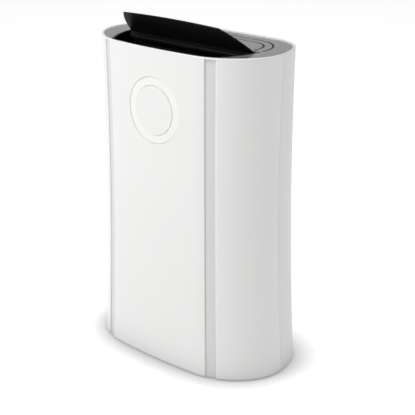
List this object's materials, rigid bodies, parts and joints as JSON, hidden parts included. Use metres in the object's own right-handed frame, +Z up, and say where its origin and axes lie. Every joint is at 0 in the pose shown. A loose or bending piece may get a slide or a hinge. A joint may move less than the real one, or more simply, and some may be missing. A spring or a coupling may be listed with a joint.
{
  "type": "dehumidifier",
  "caption": "Waisted white compressor dehumidifier with a hinged outlet flap on top, light ring, push buttons, rear water tank, intake filter and drain plug.",
  "frame": {"origin": "on the floor, under the centre of the casing", "axes": "+Z up, front faces -Y, +X is the object's left side seen from behind and the viewer's right seen from the front"},
  "size_m": [0.4204, 0.2275, 0.6471],
  "materials": {
    "white_gloss": "glossy moulded white",
    "white_satin": "satin white",
    "silver_top": "metallic silver lacquer, glossy",
    "black_gloss": "semi-gloss black",
    "black_matte": "fine-textured black",
    "ring_lens": "opal diffuser, warm white",
    "display_lens": "smoked acrylic",
    "button_cap": "silver lacquer",
    "rubber_grey": "soft grey rubber",
    "foot_grey": "light grey glides",
    "steel_sheet": "galvanised sheet",
    "steel_pin": "bright steel",
    "compressor_black": "black enamel",
    "aluminium_fins": "rolled fin stock",
    "copper": "copper tube",
    "board_green": "solder-masked laminate",
    "tank_clear": "tinted clear moulding",
    "grille_white": "satin white",
    "filter_cloth": "dark nylon mesh",
    "fan_grey": "grey moulding",
    "float_foam": "closed-cell foam"
  },
  "bodies": {
    "casing": {"front_panel": "white_gloss", "side_panel_left": "white_gloss", "side_panel_right": "white_gloss", "rear_cover": "white_satin", "top_rim": "white_gloss", "ring_disc": "white_gloss", "light_ring": "ring_lens", "ring_led_board": "board_green", "top_cover": "silver_top", "control_ring": "silver_top", "control_plate": "silver_top", "display_lens": "display_lens", "control_tray": "black_matte", "control_board": "board_green", "tact_switches": "black_matte", "outlet_bezel": "black_gloss", "outlet_duct": "black_matte", "outlet_grille": "black_matte", "flap_pin": "steel_pin", "flap_motor": "steel_sheet", "base_pan": "white_satin", "feet": "rubber_grey", "floor_skids": "foot_grey", "chassis": "steel_sheet", "coil_frame": "steel_sheet", "compressor": "compressor_black", "compressor_grommets": "rubber_grey", "compressor_bolts": "steel_pin", "accumulator": "compressor_black", "evaporator": "aluminium_fins", "condenser": "aluminium_fins", "suction_pipe": "copper", "discharge_pipe": "copper", "capillary": "copper", "drip_tray": "black_matte", "fan_scroll": "fan_grey", "fan_motor": "steel_sheet", "main_board": "board_green", "board_parts": "black_matte", "cord_gland": "rubber_grey", "tank_switch": "black_matte", "humidity_sensor": "white_satin"},
    "flap": {"outlet_flap": "black_gloss", "flap_drive_shaft": "steel_pin"},
    "blower": {"impeller": "fan_grey", "motor_shaft": "steel_pin"},
    "tank": {"water_tank": "tank_clear", "tank_lid": "white_satin", "tank_cover": "white_gloss", "float_pin": "steel_pin"},
    "float": {"tank_float": "float_foam"},
    "filter": {"intake_grille": "grille_white", "filter_frame": "grille_white", "filter_mesh": "filter_cloth"},
    "drain_plug": {"drain_plug": "rubber_grey"},
    "key_power": {"button_power": "button_cap"},
    "key_mode": {"button_mode": "button_cap"},
    "key_fan": {"button_fan": "button_cap"},
    "key_timer": {"button_timer": "button_cap"},
    "key_swing": {"button_swing": "button_cap"}
  },
  "joints": [
    {"name": "flap_hinge", "type": "hinge", "parent": "casing", "child": "flap", "pos_m": [0, -0.012, 0.588], "axis": [-1, 0, 0], "range_deg": [-40, 35]},
    {"name": "blower_spin", "type": "hinge", "parent": "casing", "child": "blower", "pos_m": [0, -0.074, 0.446], "axis": [0, 1, 0], "continuous": true},
    {"name": "tank_slide", "type": "slide", "parent": "casing", "child": "tank", "axis": [0, 1, 0], "range_m": [0, 0.15]},
    {"name": "float_hinge", "type": "hinge", "parent": "tank", "child": "float", "pos_m": [0.1, 0.036, 0.156], "axis": [1, 0, 0], "range_deg": [-4, 30]},
    {"name": "filter_slide", "type": "slide", "parent": "casing", "child": "filter", "axis": [0, 1, 0], "range_m": [0, 0.06]},
    {"name": "drain_plug_pull", "type": "slide", "parent": "casing", "child": "drain_plug", "axis": [0, 1, 0], "range_m": [0, 0.03]},
    {"name": "power_press", "type": "slide", "parent": "casing", "child": "key_power", "axis": [0, 0, -1], "range_m": [0, 0.0009], "stiffness_N_per_m": 600, "springref_m": -0.0008},
    {"name": "mode_press", "type": "slide", "parent": "casing", "child": "key_mode", "axis": [0, 0, -1], "range_m": [0, 0.0009], "stiffness_N_per_m": 600, "springref_m": -0.0008},
    {"name": "fan_press", "type": "slide", "parent": "casing", "child": "key_fan", "axis": [0, 0, -1], "range_m": [0, 0.0009], "stiffness_N_per_m": 600, "springref_m": -0.0008},
    {"name": "timer_press", "type": "slide", "parent": "casing", "child": "key_timer", "axis": [0, 0, -1], "range_m": [0, 0.0009], "stiffness_N_per_m": 600, "springref_m": -0.0008},
    {"name": "swing_press", "type": "slide", "parent": "casing", "child": "key_swing", "axis": [0, 0, -1], "range_m": [0, 0.0009], "stiffness_N_per_m": 600, "springref_m": -0.0008}
  ]
}
